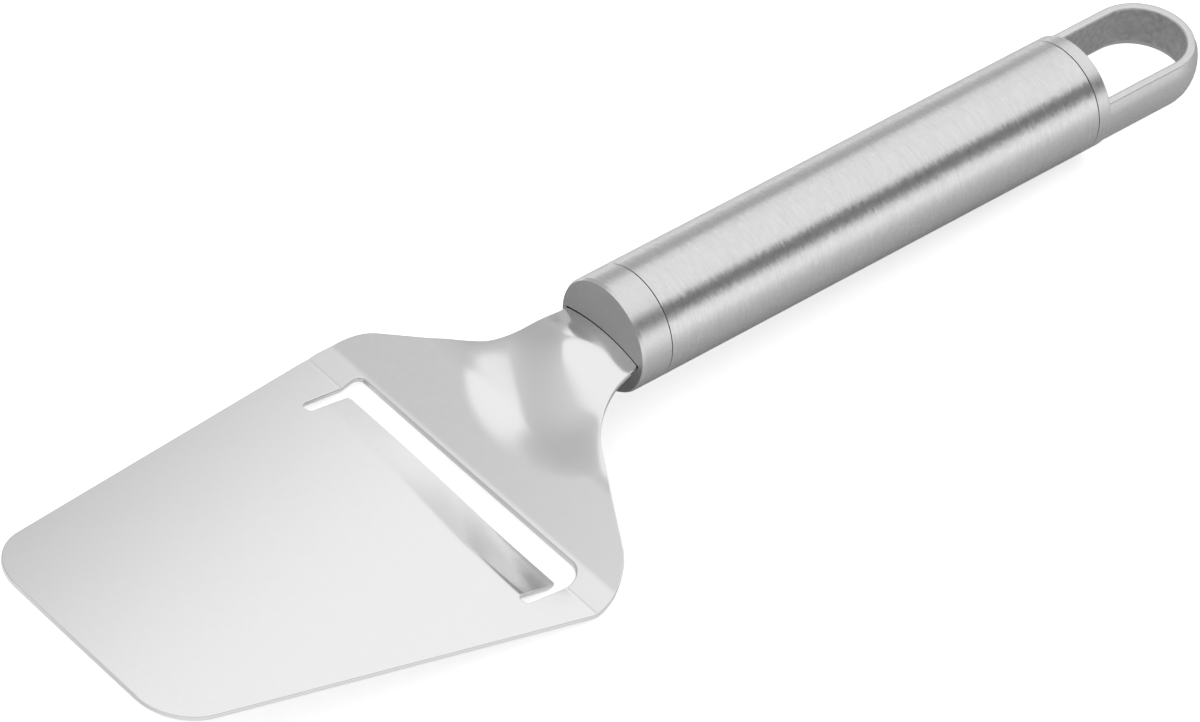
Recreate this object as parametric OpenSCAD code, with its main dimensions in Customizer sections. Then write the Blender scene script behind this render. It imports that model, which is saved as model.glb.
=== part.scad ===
// Cheese slicer: a stamped sheet blade held in the front cap of a closed tube handle
// with a hanging loop. Millimetres, +Z up, lying on its cutting edge and the handle's end.
// The blade's own frame has x from the front edge towards the handle and z = 0 on the
// upper face of the front plate. rest() lays the whole slicer down on the table.

/* [Blade sheet] */
// Thickness of the sheet
sheet_t = 0.9; // [0.6:0.05:1.3]
// Half width of the front edge, up to its rounded corners
front_half_w = 23.8; // [18:0.1:30]
// How much each side spreads per unit of length
side_spread = 0.165; // [0.1:0.001:0.2]
// Radius of the two front corners
front_corner_r = 10; // [4:0.5:14]
// Length of the flat front plate, up to the bend
plate_l = 79.2; // [60:0.1:100]

/* [Slot and cutting lip] */
// Length of each notch, from its front end to the bend
notch_l = 8.7; // [6:0.1:13]
// Distance from the bend to the rear edge of the slot
slot_rear_l = 3.6; // [2.4:0.1:3.8]
// Half width of the slot, notches included
slot_half_w = 28.6; // [24:0.1:31]
// How far the slot lies to the right of the centre line
slot_off = 0.5; // [0:0.1:1.5]
// Width of the notch at each end of the lip
notch_w = 2.15; // [1.5:0.05:3]
// Radius of the two front corners of each notch
notch_r = 0.9; // [0.4:0.1:1.4]
// Radius of the slot's rear corner on the left
slot_left_r = 1.5; // [0.8:0.1:3]
// Radius of the slot's rear corner on the right
slot_right_r = 3.2; // [2:0.1:5]
// Length of the lip, from its root to its sharp edge
lip_l = 7.7; // [6:0.1:8.2]
// How far the lip's upper face drops over its length
lip_drop = 0.8; // [0.4:0.05:1.2]
// Length of the ground bevel on top of the cutting edge
bevel_l = 1.7; // [0.8:0.1:2.2]
// Radius of the lip's free corners
lip_corner_r = 0.8; // [0.4:0.1:1.5]

/* [Shoulders and neck] */
// Height gained over the first facet behind the bend
first_rise = 1.75; // [1.4:0.05:2.2]
// Length of the first facet
first_l = 3.9; // [3.9:0.1:5]
// Height of the sheet where the ramp turns steeper
ramp_top = 9.8; // [8:0.1:11]
// Length of the ramp
ramp_l = 9.3; // [8.5:0.1:11]
// Length of the steep part of the neck
steep_l = 5.7; // [5:0.1:7]
// Radius that rounds the bend line behind the front plate
bend_r = 2; // [1:0.1:3]
// Radius that rounds both ends of the ramp in side view
ramp_bend_r = 4.5; // [3:0.1:6]
// Radius that rounds the neck in side view
neck_bend_r = 15; // [8:0.5:16]
// Corner radius of the shoulders, seen from above
shoulder_r = 10; // [7:0.5:13]
// Radius of the waist, seen from above
waist_r = 10.8; // [7:0.1:12]
// Distance from the bend to the point where a shoulder's two lines would meet
shoulder_l = 5.9; // [5:0.1:8]
// Distance from the bend to the point where the waist's two lines would meet
waist_l = 18.8; // [18:0.1:20]
// Half width at that point
waist_half_w = 10.7; // [10:0.1:12]
// Depth of the dish pressed into the middle of the ramp
dish_depth = 1.1; // [0:0.1:2]
// Half width of the dish
dish_half_w = 13; // [8:0.5:15]
// Half length of the dish
dish_half_l = 6; // [4:0.5:7]

/* [Tang] */
// Wall of the front cap left at each side of the tang
tang_side = 1.45; // [1.2:0.05:2.5]
// Space between the tang's narrow inner end and the spigot
tang_inset = 1.25; // [1:0.05:2]
// Height of the arch across the sheet where it enters the front cap
arch_h = 1.3; // [0.6:0.1:2]
// Height of the arch's crown above the handle's axis, at the front cap
crown_w = 1.25; // [0.5:0.05:2]
// Angle of the tang to the handle's axis
tang_angle = 10; // [7:0.5:13]
// Length of the tang inside the handle
tang_l = 11; // [9:0.5:13]
// Gap between the tang and its slot in the cap
tang_gap = 0.2; // [0.1:0.05:0.4]

/* [Handle] */
// Outer diameter of the handle
handle_d = 20.5; // [19.5:0.1:23]
// Distance from the bend to the middle of the front cap's face
neck_l = 28.4; // [27:0.1:30]
// Height of the middle of the front cap's face above the front plate
handle_z = 20.4; // [19:0.1:22]
// Angle at which the handle rises from the blade's plane
handle_angle = 7.7; // [5:0.1:10]
// Length from the front cap's face to the rear face of the rear cap's disc
handle_l = 105.7; // [90:0.1:120]
// Wall of the tube
tube_wall = 0.8; // [0.6:0.05:1.2]
// Open seam between the tube and each cap
seam_gap = 0.15; // [0.1:0.05:0.3]

/* [Front cap] */
// Length of the front cap up to its seam
front_cap_l = 6.3; // [5:0.1:8]
// Bevel round the front cap's face
rim_bevel = 0.5; // [0.2:0.05:0.8]
// Length of the spigot inside the tube
spigot_l = 6; // [4:0.5:10]
// Radial wall of the spigot
spigot_wall = 1.2; // [0.8:0.1:1.4]

/* [Rear cap] */
// Length of the rear cap's disc, behind its seam
rear_disc_l = 2.7; // [2:0.1:4]
// Height of the loop's band
band_h = 7.6; // [5:0.1:9]
// Width of the opening in the loop
loop_w = 15.6; // [12:0.1:16.5]
// Length from the disc to the centre of the loop's round end
loop_l = 16.2; // [12:0.1:24]

/* [Joints] */
// Radial space between a spigot and the tube, filled with brazing metal
braze_t = 0.3; // [0.2:0.05:0.5]
// Length of each ring of brazing metal
braze_l = 4; // [2:0.5:5]
// Thickness of the weld bead above and below the tang
weld_t = 1.2; // [0.8:0.1:1.6]
// Length of the weld bead
weld_l = 2; // [1.5:0.1:3]

/* [Hidden] */

// Fineness of the round surfaces
$fn = 96;
// Clearance between faces that are joined by weld or brazing metal
face_gap = 0.02;
// Length by which a cutting solid overruns what it cuts
over = 1;
// Stations along the sheet: bend, ramp and neck
bend_rows = 16;
neck_rows = 30;
// Columns across half of the sheet
half_columns = 9;
// Steps on each rounded corner of an outline
corner_steps = 10;
// Power with which the arch grows along the neck: under 1 it rises early
arch_growth = 0.8;
// Step over which the slope of the sheet is measured
probe = handle_d / 1000;

handle_r = handle_d / 2;
tube_ri = handle_r - tube_wall;
spigot_r = tube_ri - braze_t;
spigot_ri = spigot_r - spigot_wall;
tang_half_w = handle_r - tang_side;
tang_end_half_w = spigot_ri - tang_inset;
rear_seam_s = handle_l - rear_disc_l;
loop_end_s = handle_l + loop_l + handle_r;

// The slot, from its left end to its right end, and the lip
notch_x = plate_l - notch_l;
slot_rear_x = plate_l + slot_rear_l;
slot_left = slot_half_w - slot_off;
slot_right = -slot_half_w - slot_off;
lip_left = slot_left - notch_w;
lip_right = slot_right + notch_w;
lip_root_x = notch_x + notch_r;
edge_x = lip_root_x + lip_l;

// The sheet where it enters the front cap: slope, crown and arch
handle_x = plate_l + neck_l;
tang_slope = handle_angle + tang_angle;
crown_x = handle_x - crown_w * sin(handle_angle);
crown_z = handle_z + crown_w * cos(handle_angle);
arch_r = (tang_half_w * tang_half_w + arch_h * arch_h) / (2 * arch_h);
tang_end_x = crown_x + tang_l * cos(tang_slope);

// Points of the side profile, along the crown of the sheet
bend_end_x = plate_l + first_l;
ramp_end_x = bend_end_x + ramp_l;
steep_end_x = ramp_end_x + steep_l;
profile = [
    [0, 0], [plate_l, 0], [bend_end_x, first_rise], [ramp_end_x, ramp_top],
    [steep_end_x, crown_z - (crown_x - steep_end_x) * tan(tang_slope)],
    [tang_end_x + over, crown_z + (tang_end_x + over - crown_x) * tan(tang_slope)]
];
profile_radii = [0, bend_r, ramp_bend_r, ramp_bend_r, neck_bend_r, 0];

// Lying on the table: the cutting edge and the lowest point of the rear disc touch it
edge_z = -sheet_t - lip_drop;
heel_x = handle_x + handle_l * cos(handle_angle) + handle_r * sin(handle_angle);
heel_z = handle_z + handle_l * sin(handle_angle) - handle_r * cos(handle_angle);
tilt = atan2(heel_z - edge_z, heel_x - edge_x);
table_z = -edge_x * sin(tilt) + edge_z * cos(tilt);
low_x = -sheet_t * sin(tilt);
high_x = handle_x * cos(tilt) + handle_z * sin(tilt)
    + loop_end_s * cos(tilt - handle_angle) + band_h / 2 * sin(tilt - handle_angle);

// Tangent arc that rounds corner q between p and r: [start, end, centre, radius]
function unit(v) = v / norm(v);
function corner(p, q, r, radius) =
    let (u = unit(p - q), v = unit(r - q), half = acos(u * v) / 2)
    [q + u * radius / tan(half), q + v * radius / tan(half), q + unit(u + v) * radius / sin(half), radius];

// Points of a closed outline whose corners are rounded
function round_path(points, radii) = [
    for (i = [0 : len(points) - 1])
        let (p = points[(i + len(points) - 1) % len(points)], q = points[i], r = points[(i + 1) % len(points)])
        each (radii[i] == 0 ? [q] : arc_points(corner(p, q, r, radii[i])))
];
function arc_points(c) =
    let (a = angle_of(c[0] - c[2]), b = angle_of(c[1] - c[2]), turn = wrap(b - a))
    [for (i = [0 : corner_steps]) c[2] + c[3] * [cos(a + turn * i / corner_steps), sin(a + turn * i / corner_steps)]];
function angle_of(v) = atan2(v[1], v[0]);
function wrap(a) = a > 180 ? a - 360 : a < -180 ? a + 360 : a;

// Height at x of a line through two points, and of a tangent arc
function line_at(p, q, x) = p[1] + (q[1] - p[1]) * (x - p[0]) / (q[0] - p[0]);
function arc_at(c, x, side) = c[2][1] + side * sqrt(max(0, c[3] * c[3] - (x - c[2][0]) * (x - c[2][0])));

// Half width of the sheet at x, seen from above
side_p = [0, front_half_w];
shoulder_x = plate_l + shoulder_l;
shoulder_p = [shoulder_x, front_half_w + side_spread * shoulder_x];
waist_p = [plate_l + waist_l, waist_half_w];
tang_p = [crown_x, tang_half_w];
tang_end_p = [tang_end_x, tang_end_half_w];
shoulder_c = corner(side_p, shoulder_p, waist_p, shoulder_r);
waist_c = corner(shoulder_p, waist_p, tang_p, waist_r);
function half_w(x) =
    x < shoulder_c[0][0] ? line_at(side_p, shoulder_p, x)
    : x < shoulder_c[1][0] ? arc_at(shoulder_c, x, 1)
    : x < waist_c[0][0] ? line_at(shoulder_p, waist_p, x)
    : x < waist_c[1][0] ? arc_at(waist_c, x, -1)
    : x < crown_x ? line_at(waist_p, tang_p, x)
    : line_at(tang_p, tang_end_p, x);

// Height of the side profile at x: straight stretches joined by tangent arcs
function profile_at(x, i = 1) =
    i == len(profile) - 1 ? line_at(profile[i - 1], profile[i], x)
    : let (c = corner(profile[i - 1], profile[i], profile[i + 1], profile_radii[i]))
      x < c[0][0] ? line_at(profile[i - 1], profile[i], x)
      : x < c[1][0] ? arc_at(c, x, profile[i + 1][1] - line_at(profile[i - 1], profile[i], profile[i + 1][0]) > 0 ? -1 : 1)
      : profile_at(x, i + 1);

// Upper face of the sheet: the side profile, an arch that grows towards the cap, and a dish
function clamp01(v) = max(0, min(1, v));
function arch_share(x) = pow(clamp01((x - ramp_end_x) / (crown_x - ramp_end_x)), arch_growth);
function arch_drop(y) = (arch_r - sqrt(max(0, arch_r * arch_r - y * y))) / cos(tang_slope);
function bump(v) = pow(1 - clamp01(v * v), 2);
dish_x = (bend_end_x + ramp_end_x) / 2 + ramp_l / 4;
function dish(x, y) = dish_depth * bump((x - dish_x) / dish_half_l) * bump(y / dish_half_w);
function top_z(x, y) = profile_at(x) - arch_share(x) * arch_drop(y) - dish(x, y);
function slope_factor(x, y) =
    let (dx = (top_z(x + probe, y) - top_z(x - probe, y)) / (2 * probe),
         dy = (top_z(x, y + probe) - top_z(x, y - probe)) / (2 * probe))
    sqrt(1 + dx * dx + dy * dy);
function low_z(x, y) = x <= plate_l - bend_r ? top_z(x, y) - sheet_t : top_z(x, y) - sheet_t * slope_factor(x, y);

module rest() {
    translate([-(low_x + high_x) / 2, 0, -table_z]) rotate([0, tilt, 0]) children();
}

// The handle's frame: origin in the middle of the front cap's face, +Z along the axis to the
// rear, +X downwards, so a cylinder drawn along Z is the handle
module on_handle() {
    translate([handle_x, 0, handle_z]) rotate([0, 90 - handle_angle, 0]) children();
}

// A stretch of the arched tang, thickened by grow on every side
module arched_bar(half_width, grow, from_l, to_l) {
    translate([crown_x, 0, crown_z]) rotate([0, 90 - tang_slope, 0])
        translate([arch_r, 0, from_l]) intersection() {
            difference() {
                cylinder(r = arch_r + grow, h = to_l - from_l);
                translate([0, 0, -over]) cylinder(r = arch_r - sheet_t - grow, h = to_l - from_l + 2 * over);
            }
            translate([-arch_r - grow - over, -half_width - grow, -over])
                cube([arch_r, 2 * (half_width + grow), to_l - from_l + 2 * over]);
        }
}

// Flat front plate, with the slot's window up to the bend
module front_plate() {
    plate_end = plate_l - bend_r;
    translate([0, 0, -sheet_t]) linear_extrude(sheet_t) polygon(round_path([
        [0, -front_half_w], [plate_end, -half_w(plate_end)], [plate_end, half_w(plate_end)], [0, front_half_w]
    ], [front_corner_r, 0, 0, front_corner_r]));
}

// Bent shoulders, dished ramp, arched neck and tang, as rows across the sheet
module bent_sheet() {
    start_x = plate_l - bend_r;
    rows_x = concat(
        [for (i = [0 : bend_rows - 1]) start_x + (bend_end_x - start_x) * i / bend_rows],
        [for (i = [0 : neck_rows - 1]) bend_end_x + (crown_x - bend_end_x) * i / neck_rows],
        [crown_x, tang_end_x]
    );
    columns = 2 * half_columns + 1;
    upper = [for (x = rows_x, j = [-half_columns : half_columns])
        let (y = half_w(x) * j / half_columns) [x, y, top_z(x, y)]];
    lower = [for (x = rows_x, j = [-half_columns : half_columns])
        let (y = half_w(x) * j / half_columns) [x, y, low_z(x, y)]];
    rows = len(rows_x);
    under = rows * columns;
    function at(i, j) = i * columns + j;
    polyhedron(
        points = concat(upper, lower),
        faces = concat(
            [for (i = [0 : rows - 2], j = [0 : columns - 2]) each [
                [at(i, j), at(i, j + 1), at(i + 1, j)],
                [at(i, j + 1), at(i + 1, j + 1), at(i + 1, j)],
                [under + at(i, j), under + at(i + 1, j), under + at(i, j + 1)],
                [under + at(i, j + 1), under + at(i + 1, j), under + at(i + 1, j + 1)]
            ]],
            [for (i = [0 : rows - 2]) each [
                [at(i, 0), at(i + 1, 0), under + at(i, 0)],
                [under + at(i, 0), at(i + 1, 0), under + at(i + 1, 0)],
                [at(i, columns - 1), under + at(i, columns - 1), at(i + 1, columns - 1)],
                [under + at(i, columns - 1), under + at(i + 1, columns - 1), at(i + 1, columns - 1)]
            ]],
            [for (j = [0 : columns - 2]) each [
                [at(0, j), under + at(0, j), at(0, j + 1)],
                [under + at(0, j), under + at(0, j + 1), at(0, j + 1)],
                [at(rows - 1, j), at(rows - 1, j + 1), under + at(rows - 1, j)],
                [under + at(rows - 1, j), at(rows - 1, j + 1), under + at(rows - 1, j + 1)]
            ]]
        )
    );
}

// The slot's whole window with a notch at each end, cut down through plate and ramp
module slot_window() {
    translate([0, 0, -sheet_t - over]) linear_extrude(sheet_t + first_rise + 2 * over) polygon(round_path([
        [notch_x, slot_right], [slot_rear_x, slot_right], [slot_rear_x, slot_left], [notch_x, slot_left],
        [notch_x, lip_left], [lip_root_x, lip_left], [lip_root_x, lip_right], [notch_x, lip_right]
    ], [notch_r, slot_right_r, slot_left_r, notch_r, notch_r, 0, 0, notch_r]));
}

// The cutting lip: bent down behind the plate and ground to an edge at its underside
module cutting_lip() {
    bevel_x = edge_x - bevel_l;
    intersection() {
        translate([0, lip_left + over, 0]) rotate([90, 0, 0]) linear_extrude(lip_left - lip_right + 2 * over) polygon([
            [notch_x, 0], [lip_root_x, 0], [bevel_x, -lip_drop], [edge_x, edge_z],
            [bevel_x, -lip_drop - sheet_t], [lip_root_x, -sheet_t], [notch_x, -sheet_t]
        ]);
        translate([0, 0, edge_z - over]) linear_extrude(-edge_z + 2 * over) polygon(round_path([
            [notch_x, lip_right], [edge_x, lip_right], [edge_x, lip_left], [notch_x, lip_left]
        ], [0, lip_corner_r, lip_corner_r, 0]));
    }
}

module blade() {
    color("silver") rest() union() {
        difference() {
            union() {
                front_plate();
                bent_sheet();
            }
            slot_window();
        }
        cutting_lip();
    }
}

module ring(outer_r, inner_r, from_s, to_s) {
    on_handle() translate([0, 0, from_s]) difference() {
        cylinder(r = outer_r, h = to_s - from_s);
        translate([0, 0, -over]) cylinder(r = inner_r, h = to_s - from_s + 2 * over);
    }
}

// The cap's plate and its hollow spigot, turned in one, with the arched slot for the tang
module front_cap() {
    color("darkgray") rest() difference() {
        on_handle() rotate_extrude() polygon([
            [0, 0], [handle_r - rim_bevel, 0], [handle_r, rim_bevel], [handle_r, front_cap_l],
            [spigot_r, front_cap_l], [spigot_r, front_cap_l + spigot_l],
            [spigot_ri, front_cap_l + spigot_l], [spigot_ri, front_cap_l], [0, front_cap_l]
        ]);
        arched_bar(tang_half_w, tang_gap, -over, front_cap_l + over);
    }
}

module handle_tube() {
    color("lightgray") rest() ring(handle_r, tube_ri, front_cap_l + seam_gap, rear_seam_s - seam_gap);
}

// The loop's opening, seen along its height: straight sides and a round end
module loop_opening() {
    translate([handle_l, -loop_w / 2]) square([loop_l, loop_w]);
    translate([handle_l + loop_l, 0]) circle(r = loop_w / 2);
}

// What lies outside the loop's round end, seen along its height
module loop_waste() {
    difference() {
        translate([handle_l + loop_l, -handle_r - over]) square([handle_r + 2 * over, 2 * (handle_r + over)]);
        translate([handle_l + loop_l, 0]) circle(r = handle_r);
    }
}

// Disc, spigot and a solid bar turned in one; the bar is then cut down to the loop's band
module rear_cap() {
    color("darkgray") rest() on_handle() difference() {
        rotate_extrude() polygon([
            [0, rear_seam_s], [spigot_ri, rear_seam_s], [spigot_ri, rear_seam_s - spigot_l],
            [spigot_r, rear_seam_s - spigot_l], [spigot_r, rear_seam_s],
            [handle_r, rear_seam_s], [handle_r, loop_end_s + over], [0, loop_end_s + over]
        ]);
        for (side = [0, 1]) mirror([side, 0, 0]) translate([band_h / 2, -handle_r - over, handle_l])
            cube([handle_r, 2 * (handle_r + over), loop_end_s + 2 * over - handle_l]);
        rotate([0, -90, 0]) translate([0, 0, -handle_r]) linear_extrude(handle_d) {
            loop_opening();
            loop_waste();
        }
    }
}

module tang_weld() {
    color("gray") rest() difference() {
        intersection() {
            arched_bar(tang_half_w - 2 * weld_t, weld_t, 0, tang_l);
            on_handle() translate([0, 0, front_cap_l + face_gap]) cylinder(r = spigot_ri - face_gap, h = weld_l);
        }
        arched_bar(tang_half_w, face_gap, 0, tang_l + over);
    }
}

module front_braze() {
    color("goldenrod") rest() ring(tube_ri - face_gap, spigot_r + face_gap,
        front_cap_l + 2 * seam_gap, front_cap_l + 2 * seam_gap + braze_l);
}

module rear_braze() {
    color("goldenrod") rest() ring(tube_ri - face_gap, spigot_r + face_gap,
        rear_seam_s - 2 * seam_gap - braze_l, rear_seam_s - 2 * seam_gap);
}

blade();
front_cap();
handle_tube();
rear_cap();
tang_weld();
front_braze();
rear_braze();
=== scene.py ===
import math

import bmesh
import bpy
import numpy as np
from mathutils import Matrix, Vector
from mathutils.geometry import delaunay_2d_cdt


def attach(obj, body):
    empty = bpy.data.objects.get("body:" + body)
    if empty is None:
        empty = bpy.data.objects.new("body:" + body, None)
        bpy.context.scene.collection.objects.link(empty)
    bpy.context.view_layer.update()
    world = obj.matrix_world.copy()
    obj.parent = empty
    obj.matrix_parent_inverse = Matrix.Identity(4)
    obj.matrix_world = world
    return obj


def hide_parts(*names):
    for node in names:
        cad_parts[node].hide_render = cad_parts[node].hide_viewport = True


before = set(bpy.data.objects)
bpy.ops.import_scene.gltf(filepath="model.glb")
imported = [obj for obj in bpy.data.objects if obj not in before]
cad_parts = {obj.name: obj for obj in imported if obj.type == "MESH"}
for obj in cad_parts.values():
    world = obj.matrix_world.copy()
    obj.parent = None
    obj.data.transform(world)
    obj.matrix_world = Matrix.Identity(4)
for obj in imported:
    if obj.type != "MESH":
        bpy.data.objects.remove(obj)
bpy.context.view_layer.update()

# Sizes in millimetres, with the names and values of the solid model, apart from the groups that say
# otherwise. The blade's own frame has x from the front edge towards the handle, y = 0 in its middle and
# z = 0 on the upper face of the front plate.
MM = 0.001
SHEET_T = 0.9
FRONT_HALF_W = 23.8
SIDE_SPREAD = 0.165
FRONT_CORNER_R = 10
PLATE_L = 79.2

# Slot and cutting lip
NOTCH_L = 8.7
SLOT_REAR_L = 3.6
SLOT_HALF_W = 28.6
SLOT_OFF = 0.5
NOTCH_W = 2.15
NOTCH_R = 0.9
SLOT_LEFT_R = 1.5
SLOT_RIGHT_R = 3.2
LIP_L = 7.7
LIP_DROP = 0.8
BEVEL_L = 1.7
LIP_CORNER_R = 0.8

# Bends behind the plate, shoulders and waist
FIRST_RISE = 1.75
FIRST_L = 3.9
RAMP_TOP = 9.8
RAMP_L = 9.3
BEND_R = 2
RAMP_BEND_R = 4.5
SHOULDER_R = 10
WAIST_R = 10.8
SHOULDER_L = 5.9
WAIST_L = 18.8
WAIST_HALF_W = 10.7

# Tang and its arch
TANG_SIDE = 1.45
TANG_INSET = 1.25
ARCH_H = 1.3
CROWN_W = 1.25
TANG_ANGLE = math.radians(10)
TANG_L = 11
TANG_GAP = 0.2

# Handle: tube, caps and hanging loop
HANDLE_R = 10.25
NECK_L = 28.4
HANDLE_Z = 20.4
HANDLE_ANGLE = math.radians(7.7)
HANDLE_L = 105.7
TUBE_WALL = 0.8
SEAM_GAP = 0.15
FRONT_CAP_L = 6.3
SPIGOT_L = 6
SPIGOT_WALL = 1.2
BRAZE_T = 0.3
REAR_DISC_L = 2.7
BAND_H = 7.6
LOOP_W = 15.6
LOOP_L = 16.2

# The steep part, the neck, the dish, the hump and the growth of the arch, as the dressed sheet has them
STEEP_L = 8
STEEP_BEND_R = 8.4
NECK_BEND_R = 18
NECK_LIFT = -0.3
DISH_DEPTH = 1.75
DISH_AT = (96, -1.4)
DISH_HALF = (8.9, 18.3)
DISH_POWER = 2.35
HUMP_H = 1.6
HUMP_AT = (99.8, 1.0)
HUMP_HALF = (6.9, 13.5)
HUMP_TURN = math.radians(-18)
HUMP_POWER = 2.95
HUMP_FADE_L = 7.0
ARCH_GROWTH = 1.2
ARCH_SOFT = 0.15
ARCH_POWER = 3.2

# The lip of the dressed sheet, whose bend changes along its length
LIP_LEFT_SHARE = 0.2
LIP_TURN_Y = 16
LIP_TURN_W = 34
LIP_SKEW = 0.077
LIP_BEND_L = 1.5
KEEN_T = 0.05

# Roundings and the loop's lower half, as the dressed pieces have them. The loop's band lies a little
# inside the handle's round, and a rim rounds no more than the thin share of the sheet's thickness.
SHEET_EDGE_R = 0.18
SEAM_EDGE_R = 0.12
TUBE_EDGE_R = 0.1
SPIGOT_EDGE_R = 0.2
DISC_EDGE_R = 0.35
RIM_EDGE_R = 0.1
RIM_BEVEL = 0.56
RIM_FACE = 0.32
LOOP_EDGE_R = 0.5
LOOP_LOW_H = 5.0
LOOP_INSET = 0.015
THIN_SHARE = 0.45

# Fineness of the meshes: steps of a round, spacings and margins in millimetres, and angles of a crease
TURN_STEPS = 256
EDGE_STEPS = 4
BAR_STEPS = 48
LEG_STEPS = 24
END_STEPS = 96
CORNER_STEPS = 5
FACE_STEPS = 8
LEAST_STEPS = 5
ARC_STEP = math.radians(7)
PLATE_GRID = 3.0
BEND_GRID = 0.15
NECK_GRID = 0.5
LIP_GRID = 0.35
OUTLINE_GRID = 0.5
HOLE_GRID = 0.35
LIP_MARGIN = 0.2
RIM_MARGIN = 0.2
CAP_CREASE = math.radians(40)
LOOP_CREASE = math.radians(35)

# Worked out from the sizes above
TUBE_RI = HANDLE_R - TUBE_WALL
SPIGOT_R = TUBE_RI - BRAZE_T
SPIGOT_RI = SPIGOT_R - SPIGOT_WALL
TANG_HALF_W = HANDLE_R - TANG_SIDE
TANG_END_HALF_W = SPIGOT_RI - TANG_INSET
REAR_SEAM_S = HANDLE_L - REAR_DISC_L
LOOP_END_S = HANDLE_L + LOOP_L + HANDLE_R
NOTCH_X = PLATE_L - NOTCH_L
SLOT_REAR_X = PLATE_L + SLOT_REAR_L
SLOT_LEFT = SLOT_HALF_W - SLOT_OFF
SLOT_RIGHT = -SLOT_HALF_W - SLOT_OFF
LIP_LEFT = SLOT_LEFT - NOTCH_W
LIP_RIGHT = SLOT_RIGHT + NOTCH_W
LIP_ROOT_X = NOTCH_X + NOTCH_R
EDGE_X = LIP_ROOT_X + LIP_L
BEVEL_X = EDGE_X - BEVEL_L
HANDLE_X = PLATE_L + NECK_L
TANG_SLOPE = HANDLE_ANGLE + TANG_ANGLE
CROWN_X = HANDLE_X - CROWN_W * math.sin(HANDLE_ANGLE)
CROWN_Z = HANDLE_Z + CROWN_W * math.cos(HANDLE_ANGLE)
ARCH_R = (TANG_HALF_W ** 2 + ARCH_H ** 2) / (2 * ARCH_H)
TANG_END_X = CROWN_X + TANG_L * math.cos(TANG_SLOPE)
BEND_END_X = PLATE_L + FIRST_L
RAMP_END_X = BEND_END_X + RAMP_L
STEEP_END_X = RAMP_END_X + STEEP_L
SHOULDER_X = PLATE_L + SHOULDER_L
WAIST_X = PLATE_L + WAIST_L

# Lying on the table: the cutting edge and the lowest point of the rear disc touch it
EDGE_Z = -SHEET_T - LIP_DROP
HEEL_X = HANDLE_X + HANDLE_L * math.cos(HANDLE_ANGLE) + HANDLE_R * math.sin(HANDLE_ANGLE)
HEEL_Z = HANDLE_Z + HANDLE_L * math.sin(HANDLE_ANGLE) - HANDLE_R * math.cos(HANDLE_ANGLE)
TILT = math.atan2(HEEL_Z - EDGE_Z, HEEL_X - EDGE_X)
TABLE_Z = -EDGE_X * math.sin(TILT) + EDGE_Z * math.cos(TILT)
LOW_X = -SHEET_T * math.sin(TILT)
HIGH_X = (HANDLE_X * math.cos(TILT) + HANDLE_Z * math.sin(TILT)
          + LOOP_END_S * math.cos(TILT - HANDLE_ANGLE)
          + BAND_H / 2 * math.sin(TILT - HANDLE_ANGLE))
REST = (Matrix.Translation((-(LOW_X + HIGH_X) / 2 * MM, 0, -TABLE_Z * MM))
        @ Matrix.Rotation(TILT, 4, "Y") @ Matrix.Scale(MM, 4))
HANDLE_FRAME = (REST @ Matrix.Translation((HANDLE_X, 0, HANDLE_Z))
                @ Matrix.Rotation(math.pi / 2 - HANDLE_ANGLE, 4, "Y"))


# Curves and outlines

def unit(v):
    return v / np.linalg.norm(v)


def corner_arc(p, q, r, radius):
    """Start, end and centre of the tangent arc that rounds the corner q between p and r."""
    p, q, r = (np.array(v, float) for v in (p, q, r))
    u, v = unit(p - q), unit(r - q)
    half = math.acos(u @ v) / 2
    reach = radius / math.tan(half)
    return q + u * reach, q + v * reach, q + unit(u + v) * radius / math.sin(half)


def arc_angles(start, end, centre):
    """The angle at which an arc starts, and how far it turns."""
    first = math.atan2(*(start - centre)[::-1])
    return first, (math.atan2(*(end - centre)[::-1]) - first + math.pi) % (2 * math.pi) - math.pi


def arc_points(centre, radius, first, turn, steps):
    """Points along an arc, both its ends included."""
    angles = (first + turn * k / steps for k in range(steps + 1))
    return [centre + radius * np.array([math.cos(a), math.sin(a)]) for a in angles]


def rounded_line(points, radii):
    """Height over x of straight stretches joined by tangent arcs."""
    xs, zs = (np.array(c, float) for c in zip(*points))
    arcs = [(corner_arc(*points[i - 1:i + 2], r), r, points[i]) for i, r in enumerate(radii) if r]

    def height(x):
        x = np.asarray(x, float)
        z = np.interp(x, xs, zs)
        for (start, end, centre), r, q in arcs:
            side = -1 if centre[1] > q[1] else 1
            arc = centre[1] + side * np.sqrt(np.maximum(0, r * r - (x - centre[0]) ** 2))
            z = np.where((x > start[0]) & (x < end[0]), arc, z)
        return z
    return height


def rounded_loop(points, radii, spacing):
    """Points and outward directions along a closed, counter-clockwise outline with rounded corners."""
    n = len(points)
    path = []
    for i, r in enumerate(radii):
        q = np.array(points[i], float)
        if not r:
            path.append(q)
            continue
        start, end, centre = corner_arc(points[i - 1], q, points[(i + 1) % n], r)
        first, turn = arc_angles(start, end, centre)
        steps = max(LEAST_STEPS, round(abs(turn) / ARC_STEP), round(abs(turn) * r / spacing))
        path += arc_points(centre, r, first, turn, steps)
    out = []
    for p, q in zip(path, path[1:] + path[:1]):
        steps = max(1, math.ceil(np.linalg.norm(q - p) / spacing))
        out += [p + (q - p) * k / steps for k in range(steps)]
    out = np.array(out)
    ahead = np.roll(out, -1, 0) - out
    ahead /= np.linalg.norm(ahead, axis=1)[:, None]
    along = ahead + np.roll(ahead, 1, 0)
    along /= np.linalg.norm(along, axis=1)[:, None]
    return out, np.stack([along[:, 1], -along[:, 0]], 1)


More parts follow.
